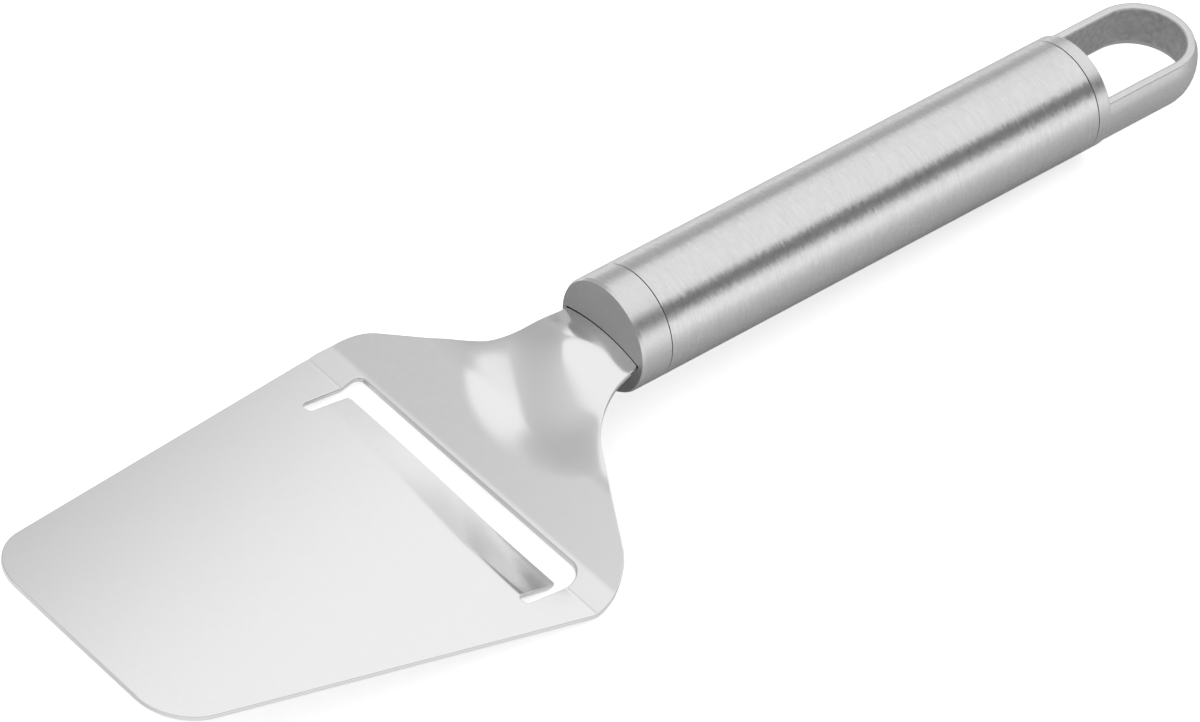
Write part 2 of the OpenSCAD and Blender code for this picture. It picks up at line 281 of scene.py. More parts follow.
def inside(points, loop):
    """Which points lie inside a closed outline."""
    x, y = points[:, 0, None], points[:, 1, None]
    x0, y0 = loop.T
    x1, y1 = np.roll(loop, -1, 0).T
    with np.errstate(divide="ignore", invalid="ignore"):
        crosses = ((y0 > y) != (y1 > y)) & (x < (x1 - x0) * (y - y0) / (y1 - y0) + x0)
    return crosses.sum(1) % 2 == 1


def near(points, loop, reach):
    """Which points lie within reach of an outline's own points."""
    return np.array([np.min(np.sum((loop - p) ** 2, 1)) < reach * reach for p in points])


# The sheet

half_w = rounded_line(
    [(0, FRONT_HALF_W), (SHOULDER_X, FRONT_HALF_W + SIDE_SPREAD * SHOULDER_X), (WAIST_X, WAIST_HALF_W),
     (CROWN_X, TANG_HALF_W), (TANG_END_X, TANG_END_HALF_W)],
    [0, SHOULDER_R, WAIST_R, 0, 0])
crown_z = rounded_line(
    [(0, 0), (PLATE_L, 0), (BEND_END_X, FIRST_RISE), (RAMP_END_X, RAMP_TOP),
     (STEEP_END_X, CROWN_Z - (CROWN_X - STEEP_END_X) * math.tan(TANG_SLOPE) + NECK_LIFT), (CROWN_X, CROWN_Z),
     (TANG_END_X + 1, CROWN_Z + (TANG_END_X + 1 - CROWN_X) * math.tan(TANG_SLOPE))],
    [0, BEND_R, RAMP_BEND_R, STEEP_BEND_R, NECK_BEND_R, 0, 0])


def on_lip(x, y):
    """Which places belong to the cutting lip."""
    between = (y > LIP_RIGHT - LIP_MARGIN) & (y < LIP_LEFT + LIP_MARGIN)
    return (x > NOTCH_X) & (x < EDGE_X + LIP_MARGIN) & between


def ease(v):
    """A smooth step from 0 to 1."""
    v = np.clip(v, 0, 1)
    return v * v * (3 - 2 * v)


def mound(x, y, middle, half, turn, power):
    """A soft oval hump of height 1."""
    dx, dy = x - middle[0], y - middle[1]
    along = (dx * math.cos(turn) + dy * math.sin(turn)) / half[0]
    across = (dy * math.cos(turn) - dx * math.sin(turn)) / half[1]
    return np.maximum(0, 1 - along ** 2 - across ** 2) ** power


def sheet_top(x, y):
    """Height of the upper face: the side profile, an arch that grows towards the cap, a dish and a hump."""
    share = np.clip((x - RAMP_END_X) / (CROWN_X - RAMP_END_X), 0, 1)
    share = (np.sqrt(share ** 2 + ARCH_SOFT ** 2) - ARCH_SOFT) / (math.hypot(1, ARCH_SOFT) - ARCH_SOFT)
    round_arch = ARCH_R - np.sqrt(np.maximum(0, ARCH_R ** 2 - y * y))
    flat_arch = ARCH_H * (np.abs(y) / TANG_HALF_W) ** ARCH_POWER
    arch = (share * round_arch + (1 - share) * flat_arch) / math.cos(TANG_SLOPE)
    dish = DISH_DEPTH * mound(x, y, DISH_AT, DISH_HALF, 0, DISH_POWER)
    hump = HUMP_H * mound(x, y, HUMP_AT, HUMP_HALF, HUMP_TURN, HUMP_POWER) * ease((CROWN_X - x) / HUMP_FADE_L)
    return crown_z(x) - share ** ARCH_GROWTH * arch - dish + hump


def lip_top(x, y):
    """The lip is bent down more towards its right end, and its bend line runs a little askew."""
    drop = LIP_DROP * (LIP_LEFT_SHARE + (1 - LIP_LEFT_SHARE) * ease((LIP_TURN_Y - y) / LIP_TURN_W))
    root = np.maximum(NOTCH_X, LIP_ROOT_X + LIP_SKEW * y)
    ahead = np.maximum(0, x - root)
    slope = -drop / (BEVEL_X - LIP_ROOT_X)
    return slope * np.where(ahead < LIP_BEND_L, ahead ** 2 / (2 * LIP_BEND_L), ahead - LIP_BEND_L / 2)


def lip_low(x, y):
    """Ground from below to the keen edge."""
    full = -SHEET_T + lip_top(x, y)
    return full + (SHEET_T - KEEN_T) * np.clip((x - BEVEL_X) / BEVEL_L, 0, 1)


def gradient(surface, x, y, step=0.01):
    return ((surface(x + step, y) - surface(x - step, y)) / (2 * step),
            (surface(x, y + step) - surface(x, y - step)) / (2 * step))


def sheet_low(x, y):
    """Height of the lower face, one thickness below the upper one."""
    dx, dy = gradient(sheet_top, x, y)
    return sheet_top(x, y) - SHEET_T * np.sqrt(1 + dx * dx + dy * dy)


def top_z(x, y):
    return np.where(on_lip(x, y), lip_top(x, y), sheet_top(x, y))


def low_z(x, y):
    return np.where(on_lip(x, y), lip_low(x, y), sheet_low(x, y))


def normals_of(surface, x, y):
    """Upward unit normals of a height surface."""
    dx, dy = gradient(surface, x, y)
    n = np.stack([-dx, -dy, np.ones_like(dx)], 1)
    return n / np.linalg.norm(n, axis=1)[:, None]


def dress(obj, node, material):
    """Gives a finished piece its material and lets it stand for its CAD node."""
    obj.data.materials.clear()
    obj.data.materials.append(material)
    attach(obj, "root")
    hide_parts(node)


def sheet_outlines():
    """The sheet's outer outline and that of its slot, seen from above."""
    outer = rounded_loop(
        [(0, -FRONT_HALF_W), (SHOULDER_X, -FRONT_HALF_W - SIDE_SPREAD * SHOULDER_X), (WAIST_X, -WAIST_HALF_W),
         (CROWN_X, -TANG_HALF_W), (TANG_END_X, -TANG_END_HALF_W), (TANG_END_X, TANG_END_HALF_W),
         (CROWN_X, TANG_HALF_W), (WAIST_X, WAIST_HALF_W),
         (SHOULDER_X, FRONT_HALF_W + SIDE_SPREAD * SHOULDER_X), (0, FRONT_HALF_W)],
        [FRONT_CORNER_R, SHOULDER_R, WAIST_R, 0, 0, 0, 0, WAIST_R, SHOULDER_R, FRONT_CORNER_R], OUTLINE_GRID)
    hole = rounded_loop(
        [(NOTCH_X, SLOT_LEFT), (SLOT_REAR_X, SLOT_LEFT), (SLOT_REAR_X, SLOT_RIGHT), (NOTCH_X, SLOT_RIGHT),
         (NOTCH_X, LIP_RIGHT), (EDGE_X, LIP_RIGHT), (EDGE_X, LIP_LEFT), (NOTCH_X, LIP_LEFT)],
        [NOTCH_R, SLOT_LEFT_R, SLOT_RIGHT_R, NOTCH_R, NOTCH_R, LIP_CORNER_R, LIP_CORNER_R, NOTCH_R],
        HOLE_GRID)
    return outer, hole


def grid_points():
    """Staggered points over the sheet: wide apart on the plate, close on the lip and behind it."""
    split = NOTCH_X - 2
    xs = np.concatenate([
        np.arange(PLATE_GRID, split, PLATE_GRID),
        np.arange(split, EDGE_X, LIP_GRID),
        np.arange(PLATE_L - 1, BEND_END_X + 1, BEND_GRID),
        np.arange(BEND_END_X + 1, TANG_END_X, NECK_GRID)])
    grid = []
    for row, x in enumerate(np.unique(np.round(xs, 4))):
        step = PLATE_GRID if x < split else NECK_GRID
        span = float(half_w(x))
        count = int(2 * span / step)
        grid += [(x, -span + step * (k + 0.5 * (row % 2))) for k in range(1, count)]
    return np.array(grid)


def build_blade(material):
    """The sheet: two triangulated faces inside the rims, and rounded rims between them."""
    rims, starts, edges, edge_points = [], [], [], []
    for p, n in sheet_outlines():
        x, y = p.T
        radius = np.minimum(SHEET_EDGE_R, THIN_SHARE * (top_z(x, y) - low_z(x, y)))
        start = len(edge_points)
        rims.append((p, n, radius))
        starts.append(start)
        edges += [(start + i, start + (i + 1) % len(p)) for i in range(len(p))]
        edge_points += list(p - n * radius[:, None])
    edge_points = np.array(edge_points)

    def in_sheet(points):
        return inside(points, edge_points[:starts[1]]) & ~inside(points, edge_points[starts[1]:])

    # The flat triangulation, whose vertices are found again by the numbers of the points they came from
    grid = grid_points()
    grid = grid[in_sheet(grid)]
    grid = grid[~near(grid, edge_points, RIM_MARGIN)]
    all_points = np.concatenate([edge_points, grid])
    made = delaunay_2d_cdt([Vector(p) for p in all_points], edges, [], 0, 1e-6)
    xy = np.array([tuple(v) for v in made[0]])
    where = {source: k for k, sources in enumerate(made[3]) for source in sources}
    tris = np.array(made[2])
    tris = tris[in_sheet(xy[tris].mean(1))]

    # Upper and lower face
    x, y = xy.T
    points = [np.stack([x, y, top_z(x, y)], 1), np.stack([x, y, low_z(x, y)], 1)]
    normals = [normals_of(top_z, x, y), -normals_of(low_z, x, y)]
    count = len(xy)
    faces = [tuple(t) for t in tris] + [tuple(t[::-1] + count) for t in tris]
    total = 2 * count

    # Rings of the rounded rims, from the upper face down to the lower one
    for start, (p, n, radius) in zip(starts, rims):
        size = len(p)
        rows = [[where[start + i] for i in range(size)]]
        flat_out = np.column_stack([n, np.zeros(size)])
        for surface, sign in ((top_z, 1), (low_z, -1)):
            ring_rows = []
            for k in range(1, EDGE_STEPS + 1):
                a = math.pi / 2 * k / EDGE_STEPS
                q = p - n * (radius * (1 - math.sin(a)))[:, None]
                z = surface(q[:, 0], q[:, 1]) - sign * radius * (1 - math.cos(a))
                face_n = sign * normals_of(surface, q[:, 0], q[:, 1])
                ring_n = face_n * math.cos(a) + flat_out * math.sin(a)
                ring_rows.append((np.column_stack([q, z]), ring_n))
            if sign < 0:
                ring_rows.reverse()
            for ring_p, ring_n in ring_rows:
                points.append(ring_p)
                normals.append(ring_n)
                rows.append(list(range(total, total + size)))
                total += size
        rows.append([where[start + i] + count for i in range(size)])
        for upper, lower in zip(rows, rows[1:]):
            for i in range(size):
                j = (i + 1) % size
                faces.append((upper[i], lower[i], lower[j], upper[j]))

    # The mesh in its place on the table
    points, normals = np.concatenate(points), np.concatenate(normals)
    rest = np.array(REST)
    points = points @ rest[:3, :3].T + rest[:3, 3]
    normals = normals @ rest[:3, :3].T
    normals /= np.linalg.norm(normals, axis=1)[:, None]
    mesh = bpy.data.meshes.new("blade_sheet")
    mesh.from_pydata([tuple(p) for p in points], [], [tuple(f) for f in faces])
    mesh.update()
    mesh.shade_smooth()
    mesh.normals_split_custom_set_from_vertices([tuple(n) for n in normals])
    blade = bpy.data.objects.new("blade_sheet", mesh)
    bpy.context.scene.collection.objects.link(blade)
    dress(blade, "blade", material)


# Turned pieces. In the handle's frame the axis is Z, towards the rear, and X points down.

def rounded_profile(points, radii):
    """A closed profile of (radius, distance) points with its corners rounded."""
    out = []
    n = len(points)
    for i, r in enumerate(radii):
        q = np.array(points[i], float)
        if not r:
            out.append(q)
            continue
        start, end, centre = corner_arc(points[i - 1], q, points[(i + 1) % n], r)
        first, turn = arc_angles(start, end, centre)
        out += arc_points(centre, r, first, turn, EDGE_STEPS)
    return out


def turned(profile):
    """A closed solid turned about Z from a closed profile. Points on the axis become one vertex."""
    bm = bmesh.new()
    rings = []
    for r, s in profile:
        if r < 1e-9:
            rings.append([bm.verts.new((0, 0, s))])
        else:
            rings.append([bm.verts.new((r * math.cos(a), r * math.sin(a), s))
                          for a in (2 * math.pi * k / TURN_STEPS for k in range(TURN_STEPS))])
    for a, b in zip(rings, rings[1:] + rings[:1]):
        for k in range(TURN_STEPS):
            j = (k + 1) % TURN_STEPS
            if len(a) == 1 and len(b) == 1:
                break
            if len(a) == 1:
                bm.faces.new((a[0], b[j], b[k]))
            elif len(b) == 1:
                bm.faces.new((a[k], a[j], b[0]))
            else:
                bm.faces.new((a[k], a[j], b[j], b[k]))
    bmesh.ops.recalc_face_normals(bm, faces=bm.faces)
    return bm


def to_object(bm, name):
    mesh = bpy.data.meshes.new(name)
    bm.to_mesh(mesh)
    bm.free()
    obj = bpy.data.objects.new(name, mesh)
    bpy.context.scene.collection.objects.link(obj)
    return obj


def combine(a, b, operation):
    """a changed by b with an exact Boolean; b is used up."""
    modifier = a.modifiers.new("cut", "BOOLEAN")
    modifier.operation = operation
    modifier.solver = "EXACT"
    modifier.object = b
    made = bpy.data.meshes.new_from_object(a.evaluated_get(bpy.context.evaluated_depsgraph_get()))
    a.modifiers.clear()
    old = a.data
    a.data = made
    bpy.data.meshes.remove(old)
    bpy.data.objects.remove(b)


def settle(obj, angle):
    """Moves a piece from the handle's frame to its place, and gives it normals that are weighted by
    face area and split where two faces meet at more than the angle."""
    mesh = obj.data
    mesh.transform(HANDLE_FRAME)
    mesh.update()
    mesh.shade_smooth()
    limit = math.cos(angle)
    around = [[] for _ in mesh.vertices]
    for poly in mesh.polygons:
        for v in poly.vertices:
            around[v].append(poly)
    made = []
    for poly in mesh.polygons:
        for v in poly.vertices:
            total = Vector()
            for other in around[v]:
                if other.normal.dot(poly.normal) > limit:
                    total += other.normal * other.area
            made.append(tuple(total.normalized()))
    mesh.normals_split_custom_set(made)


def arched_bar(half_width, grow, from_l, to_l):
    """A stretch of the arched tang, thickened by grow, in the handle's frame."""
    bm = bmesh.new()
    reach = math.asin(half_width / ARCH_R)
    rows = []
    for k in range(BAR_STEPS + 1):
        a = -reach + 2 * reach * k / BAR_STEPS
        rows.append([(r * math.cos(a), r * math.sin(a)) for r in (ARCH_R + grow, ARCH_R - SHEET_T - grow)])
    verts = [[[bm.verts.new((ARCH_R - c, s, z)) for c, s in row] for row in rows] for z in (from_l, to_l)]
    for k in range(BAR_STEPS):
        for side in (0, 1):
            bm.faces.new((verts[0][k][side], verts[0][k + 1][side], verts[1][k + 1][side], verts[1][k][side]))
        for end in (0, 1):
            bm.faces.new((verts[end][k][0], verts[end][k + 1][0], verts[end][k + 1][1], verts[end][k][1]))
    for k in (0, BAR_STEPS):
        bm.faces.new((verts[0][k][0], verts[0][k][1], verts[1][k][1], verts[1][k][0]))
    bmesh.ops.recalc_face_normals(bm, faces=bm.faces)
    place_tang = (HANDLE_FRAME.inverted() @ REST @ Matrix.Translation((CROWN_X, 0, CROWN_Z))
                  @ Matrix.Rotation(math.pi / 2 - TANG_SLOPE, 4, "Y"))
    bm.transform(place_tang)
    return to_object(bm, "tang_bar")


def build_front_cap(material):
    cap = to_object(turned(rounded_profile(
        [(0, 0), (HANDLE_R - RIM_FACE, 0), (HANDLE_R, RIM_BEVEL), (HANDLE_R, FRONT_CAP_L),
         (SPIGOT_R, FRONT_CAP_L), (SPIGOT_R, FRONT_CAP_L + SPIGOT_L),
         (SPIGOT_RI, FRONT_CAP_L + SPIGOT_L), (SPIGOT_RI, FRONT_CAP_L), (0, FRONT_CAP_L)],
        [0, RIM_EDGE_R, RIM_EDGE_R, SEAM_EDGE_R, 0, SPIGOT_EDGE_R, SPIGOT_EDGE_R, 0, 0])), "front_cap_turned")
    combine(cap, arched_bar(TANG_HALF_W + TANG_GAP, TANG_GAP, -2, FRONT_CAP_L + 1), "DIFFERENCE")
    settle(cap, CAP_CREASE)
    dress(cap, "front_cap", material)


def build_tube(material):
    front, rear = FRONT_CAP_L + SEAM_GAP, REAR_SEAM_S - SEAM_GAP
    tube = to_object(turned(rounded_profile(
        [(TUBE_RI, front), (HANDLE_R, front), (HANDLE_R, rear), (TUBE_RI, rear)],
        [TUBE_EDGE_R, SEAM_EDGE_R, SEAM_EDGE_R, TUBE_EDGE_R])), "handle_tube_brushed")
    settle(tube, CAP_CREASE)
    dress(tube, "handle_tube", material)


def loop_band():
    """The loop's band as one closed sweep: a leg, the round end and the other leg."""
    start_s = HANDLE_L - REAR_DISC_L / 2
    centre_s = HANDLE_L + LOOP_L
    stations = [(0.0, start_s + (centre_s - start_s) * k / LEG_STEPS) for k in range(LEG_STEPS)]
    stations += [(math.pi * k / END_STEPS, centre_s) for k in range(END_STEPS + 1)]
    stations += [(math.pi, centre_s + (start_s - centre_s) * k / LEG_STEPS) for k in range(1, LEG_STEPS + 1)]
    inner, half_h, r = LOOP_W / 2, BAND_H / 2, LOOP_EDGE_R
    low_h, low_r = LOOP_LOW_H, r / 2
    corner = [math.pi / 2 * k / CORNER_STEPS for k in range(CORNER_STEPS + 1)]
    inner_w = [half_h - r - (2 * (half_h - r)) * k / FACE_STEPS for k in range(FACE_STEPS + 1)]
    outer_w = [half_h - r - (half_h - r + low_h - low_r) * k / FACE_STEPS for k in range(FACE_STEPS + 1)]

    def outer(w):
        """Distance of the band's outer face from the middle, just inside the handle's round."""
        return math.sqrt(HANDLE_R ** 2 - w * w) - LOOP_INSET

    bm = bmesh.new()
    rings = []
    for turn, s in stations:
        sine, cosine = math.sin(turn), math.cos(turn)
        section = [(inner, w) for w in reversed(inner_w[1:-1])]
        section += [(inner + r * (1 - math.cos(a)), half_h - r * (1 - math.sin(a))) for a in corner]
        section += [(outer(half_h) - r * (1 - math.sin(a)), half_h - r * (1 - math.cos(a))) for a in corner]
        section += [(outer(w), w) for w in outer_w[1:-1]]
        section += [(outer(low_h) - low_r * (1 - math.cos(a)), -low_h + low_r * (1 - math.sin(a)))
                    for a in corner]
        section += [(inner + r * (1 - math.sin(a)), -half_h + r * (1 - math.cos(a))) for a in corner]
        rings.append([bm.verts.new((-w, cosine * d, s + sine * d)) for d, w in section])
    for a, b in zip(rings, rings[1:]):
        for k in range(len(a)):
            j = (k + 1) % len(a)
            bm.faces.new((a[k], a[j], b[j], b[k]))
    for ring in (rings[0], rings[-1]):
        bm.faces.new(ring)
    bmesh.ops.recalc_face_normals(bm, faces=bm.faces)
    return to_object(bm, "loop_band")


def build_rear_cap(material):
    cap = to_object(turned(rounded_profile(
        [(0, HANDLE_L), (0, REAR_SEAM_S), (SPIGOT_RI, REAR_SEAM_S), (SPIGOT_RI, REAR_SEAM_S - SPIGOT_L),
         (SPIGOT_R, REAR_SEAM_S - SPIGOT_L), (SPIGOT_R, REAR_SEAM_S),
         (HANDLE_R, REAR_SEAM_S), (HANDLE_R, HANDLE_L)],
        [0, 0, 0, SPIGOT_EDGE_R, SPIGOT_EDGE_R, 0, SEAM_EDGE_R, DISC_EDGE_R])), "rear_cap_turned")
    combine(cap, loop_band(), "UNION")
    settle(cap, LOOP_CREASE)
    dress(cap, "rear_cap", material)


# Materials

class Nodes:
    """A small helper that adds linked shader nodes to one tree."""

    def __init__(self, tree):
        self.tree = tree
        self.tree.nodes.clear()

    def add(self, kind, inputs=(), **settings):
        node = self.tree.nodes.new(kind)
        for key, value in settings.items():
            setattr(node, key, value)
        for key, value in dict(inputs).items():
            if isinstance(value, bpy.types.NodeSocket):
                self.tree.links.new(value, node.inputs[key])
            else:
                node.inputs[key].default_value = value
        return node

    def math(self, operation, a, b=0.0):
        return self.add("ShaderNodeMath", {0: a, 1: b}, operation=operation).outputs[0]

    def ramp(self, value, from_min, from_max, to_min, to_max, smooth=False):
        return self.add("ShaderNodeMapRange", {"Value": value, "From Min": from_min, "From Max": from_max,
                                               "To Min": to_min, "To Max": to_max},
                        interpolation_type="SMOOTHSTEP" if smooth else "LINEAR").outputs["Result"]

    def blend(self, share, a, b):
        """a where the share is 0 and b where it is 1."""
        return self.ramp(share, 0, 1, a, b)

    def noise(self, vector, scale, detail=2.0, roughness=0.5):
        return self.add("ShaderNodeTexNoise", {"Vector": vector, "Scale": scale, "Detail": detail,
                                               "Roughness": roughness}).outputs["Fac"]

    def vector(self, operation, a, b):
        return self.add("ShaderNodeVectorMath", {0: a, 1: b}, operation=operation).outputs[0]

    def scaled(self, vector, factor):
        return self.add("ShaderNodeVectorMath", {0: vector, "Scale": factor}, operation="SCALE").outputs[0]


# Noise values that count as the lowest and the highest, for the grain and mottle and for the waver
NOISE_LOW, NOISE_HIGH = 0.3, 0.7
WAVER_LOW, WAVER_HIGH = 0.25, 0.75

# Scale per millimetre, detail and roughness of the mottle, and stretch of the turned waver
MOTTLE = (0.9, 4.0, 0.6)
WAVER_STRETCH = (0.7, 0.7, 4.5)

# Dull places of the caps: share of light lost at the lowest and at the highest mottle of the loop's inner
# wall, where a minus is a gain, share of colour lost on the front face as painted shade, and the roughness
# added on both
LOOP_DULL = (0.22, -0.1)
FACE_PAINTED_SHADE = 0.32
DULL_ROUGHNESS = 0.2

# Where those places end, in millimetres past the wall, past the rear disc and past the front face
WALL_FADE = (0.05, 0.3)
DISC_FADE = (0.1, 0.4)
FACE_FADE = (0.02, 0.06)


def steel(name, own_frame, base, roughness, grains, bump_height, bump_strength, tint_spread=0.04,
          rough_spread=0.05, dull_and_painted_shade_places=False, tangent=None, anisotropy=0.0, waver=0.0):
    """Metal with grain: each grain is (stretch of the millimetres of its own frame, weight). With a
    tangent the grain runs round it, spreads the light along it and tips the normal by the waver."""
    material = bpy.data.materials.new(name)
    material.use_nodes = True
    n = Nodes(material.node_tree)
    place_mm = n.add("ShaderNodeMapping", {
        "Vector": n.add("ShaderNodeTexCoord").outputs["Object"], "Location": own_frame.to_translation(),
        "Rotation": own_frame.to_euler(), "Scale": own_frame.to_scale()}, vector_type="TEXTURE").outputs[0]
    height = None
    for factors, weight in grains:
        layer = n.math("MULTIPLY", n.noise(n.vector("MULTIPLY", place_mm, factors), 1.0), weight)
        height = layer if height is None else n.math("ADD", height, layer)
    mottle = n.noise(place_mm, *MOTTLE)
    grain = n.ramp(height, NOISE_LOW, NOISE_HIGH, -1.0, 1.0)
    patches = n.ramp(mottle, NOISE_LOW, NOISE_HIGH, -1.0, 1.0)
    tint = n.math("ADD", 1.0, n.math("MULTIPLY", grain, tint_spread))
    rough = n.math("ADD", roughness, n.math("MULTIPLY", patches, rough_spread))
    if dull_and_painted_shade_places:
        wall = loop_share(n, place_mm)
        face = face_share(n, place_mm)
        wall_loss = n.math("MULTIPLY", wall, n.ramp(mottle, NOISE_LOW, NOISE_HIGH, *LOOP_DULL))
        # Painted shade: the front face's colour is darkened by a fixed share
        face_painted_shade = n.math("MULTIPLY", face, FACE_PAINTED_SHADE)
        tint = n.math("MULTIPLY", tint, n.math("SUBTRACT", 1.0, wall_loss))
        tint = n.math("MULTIPLY", tint, n.math("SUBTRACT", 1.0, face_painted_shade))
        rough = n.math("ADD", rough, n.math("MULTIPLY", n.math("MAXIMUM", wall, face), DULL_ROUGHNESS))
    normal = n.add("ShaderNodeBump", {"Height": height, "Distance": bump_height * MM,
                                      "Strength": bump_strength}).outputs["Normal"]
    inputs = {"Base Color": n.scaled(base, tint), "Metallic": 1.0, "Roughness": rough}
    if tangent:
        along = tangent(n)
        sway = n.noise(n.vector("MULTIPLY", place_mm, WAVER_STRETCH), 1.0)
        sway = n.ramp(sway, WAVER_LOW, WAVER_HIGH, -waver, waver)
        normal = n.vector("ADD", normal, n.scaled(n.vector("CROSS_PRODUCT", along, normal), sway))
        inputs["Anisotropic"] = anisotropy
        inputs["Tangent"] = along
    inputs["Normal"] = normal
    shader = n.add("ShaderNodeBsdfPrincipled", inputs)
    n.add("ShaderNodeOutputMaterial", {"Surface": shader.outputs[0]})
    return material


def loop_share(n, place_mm):
    """1 on the unpolished inner wall of the hanging loop and 0 elsewhere."""
    split = n.add("ShaderNodeSeparateXYZ", {0: place_mm})
    along = split.outputs["Z"]
    past = n.math("MAXIMUM", 0.0, n.math("SUBTRACT", along, HANDLE_L + LOOP_L))
    squares = n.math("ADD", n.math("POWER", split.outputs["Y"], 2.0), n.math("POWER", past, 2.0))
    wall = n.ramp(n.math("SQRT", squares), LOOP_W / 2 + WALL_FADE[0], LOOP_W / 2 + WALL_FADE[1], 1, 0)
    return n.math("MULTIPLY", wall, n.ramp(along, HANDLE_L + DISC_FADE[0], HANDLE_L + DISC_FADE[1], 0, 1))


def face_share(n, place_mm):
    """1 on the front cap's flat face, whose colour is darkened as painted shade and which is rougher than the
    turned sides, and 0 elsewhere.
    """
    split = n.add("ShaderNodeSeparateXYZ", {0: place_mm})
    return n.ramp(split.outputs["Z"], *FACE_FADE, 1, 0)


def axial_tangent(n):
    """The direction of the handle's axis, along which its round grain spreads the light."""
    axis = HANDLE_FRAME.to_3x3() @ Vector((0, 0, 1))
    return n.add("ShaderNodeVectorTransform", {"Vector": axis.normalized()}, vector_type="VECTOR",
                 convert_from="OBJECT", convert_to="WORLD").outputs[0]


blade_steel = steel(
    "polished sheet", REST, base=(0.80, 0.80, 0.80), roughness=0.13,
    grains=[((0.25, 9.0, 9.0), 0.6), ((0.1, 3.0, 3.0), 0.4)], bump_height=0.004, bump_strength=0.05,
    tint_spread=0.01, rough_spread=0.02)
tube_steel = steel(
    "round brushed tube", HANDLE_FRAME, base=(0.70, 0.70, 0.705), roughness=0.3,
    grains=[((0.5, 0.5, 4.0), 0.5), ((0.2, 0.2, 1.8), 0.5)], bump_height=0.02, bump_strength=0.5,
    tint_spread=0.07, tangent=axial_tangent, anisotropy=0.8, waver=0.035)
cap_steel = steel(
    "satin cap", HANDLE_FRAME, base=(0.68, 0.68, 0.685), roughness=0.3,
    grains=[((3.0, 3.0, 3.0), 0.5), ((0.1, 0.1, 6.0), 0.5)], bump_height=0.01, bump_strength=0.2,
    dull_and_painted_shade_places=True)
weld_steel = steel(
    "weld bead", HANDLE_FRAME, base=(0.42, 0.41, 0.40), roughness=0.5,
    grains=[((1.2, 1.2, 1.2), 0.5), ((3, 3, 3), 0.5)], bump_height=0.2, bump_strength=0.6)
braze_metal = steel(
    "brazing metal", HANDLE_FRAME, base=(0.74, 0.62, 0.36), roughness=0.4,
    grains=[((0.8, 0.8, 0.8), 0.5), ((2.5, 2.5, 2.5), 0.5)], bump_height=0.1, bump_strength=0.4)

build_blade(blade_steel)
build_front_cap(cap_steel)
build_tube(tube_steel)
build_rear_cap(cap_steel)

# The three inner pieces keep their CAD meshes
for node, material, slot in (
        ("tang_weld", weld_steel, "weld_steel"),
        ("front_braze", braze_metal, "braze_metal"),
        ("rear_braze", braze_metal, "braze_metal")):
    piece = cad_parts[node]
    piece.data.materials.clear()
    piece.data.materials.append(material)


# Stage: a pale floor, one glowing card and soft surroundings

# Floor: half its size, its paleness, the glow that the camera sees, and what reflections see of it, in
# metres and levels: a glow on both sides, a glow under the front of the blade and a shade along the middle
FLOOR_HALF = 8.0
FLOOR_PALE = 0.9
FLOOR_GLOW = 0.62
SIDE_GLOW_FROM, SIDE_GLOW_TO, SIDE_GLOW = 0.04, 0.16, 0.4
BLADE_GLOW_FROM, BLADE_GLOW_TO, BLADE_GLOW = -0.05, -0.02, 0.22
SHADE_TO, SHADE = 0.06, 0.28

# Card: azimuth and elevation in degrees and distance in metres from the point of the sheet's middle that
# it faces, half its sizes, and the share of them that is solid before it fades out
CARD_DIRECTION = (36, 28)
CARD_DISTANCE = 0.45
CARD_AIM_X = 45
CARD_HALF_WIDE, CARD_HALF_HIGH = 0.16, 0.15
CARD_SOLID = 0.6

# Its glow, over the distance from its middle along a slant, and the darker foot
CARD_SLANT = 0.5
CARD_GREY_AT, CARD_WHITE_AT = -0.080, 0.015
CARD_GREY, CARD_WHITE = 0.56, 1.07
FOOT_AT, FOOT_END, FOOT_SHARE = -0.055, -0.03, 0.74

# Surroundings: their level at the horizon and high up, and the sine of the elevation that counts as high
LEVEL_LOW, LEVEL_HIGH = 0.62, 0.84
HIGH_SINE = 0.9

# Grey patch: azimuth, elevation, inner and outer angle in degrees, level
SOFT_PATCH = (94, 19, 15, 57, 0.53)

# Soft box overhead, as on a flat ceiling 1 above the slicer: y where it starts to fade and ends, x where it
# ends and where it is full, level; and the sine of the elevation at which it is full
SOFT_BOX = (0.58, 0.68, -1.29, -0.49, 1.05)
BOX_SINE = 0.1

# Bright horizon and dark band of the near side, by the angle round the slicer's length, upwards from -Y:
# where the horizon starts to fade and ends, level; where the band begins, is full, starts to fade and ends,
# level
HORIZON = (math.radians(14), math.radians(24), 1.12)
DARK_BAND = (math.radians(11), math.radians(30), math.radians(43), math.radians(60), 0.2)


def direction(azimuth, elevation):
    """A unit vector; azimuth is from +X towards +Y and elevation above the floor, in degrees."""
    a, e = math.radians(azimuth), math.radians(elevation)
    return Vector((math.cos(a) * math.cos(e), math.sin(a) * math.cos(e), math.sin(e)))


def flat_piece(name, surface_name, half_wide, half_high):
    """A rectangle in its own XY plane, and the nodes of its own new material."""
    signs = ((-1, -1), (1, -1), (1, 1), (-1, 1))
    mesh = bpy.data.meshes.new(name)
    mesh.from_pydata([(x * half_wide, y * half_high, 0) for x, y in signs], [], [(0, 1, 2, 3)])
    piece = bpy.data.objects.new(name, mesh)
    bpy.context.scene.collection.objects.link(piece)
    material = bpy.data.materials.new(surface_name)
    material.use_nodes = True
    mesh.materials.append(material)
    return piece, Nodes(material.node_tree)


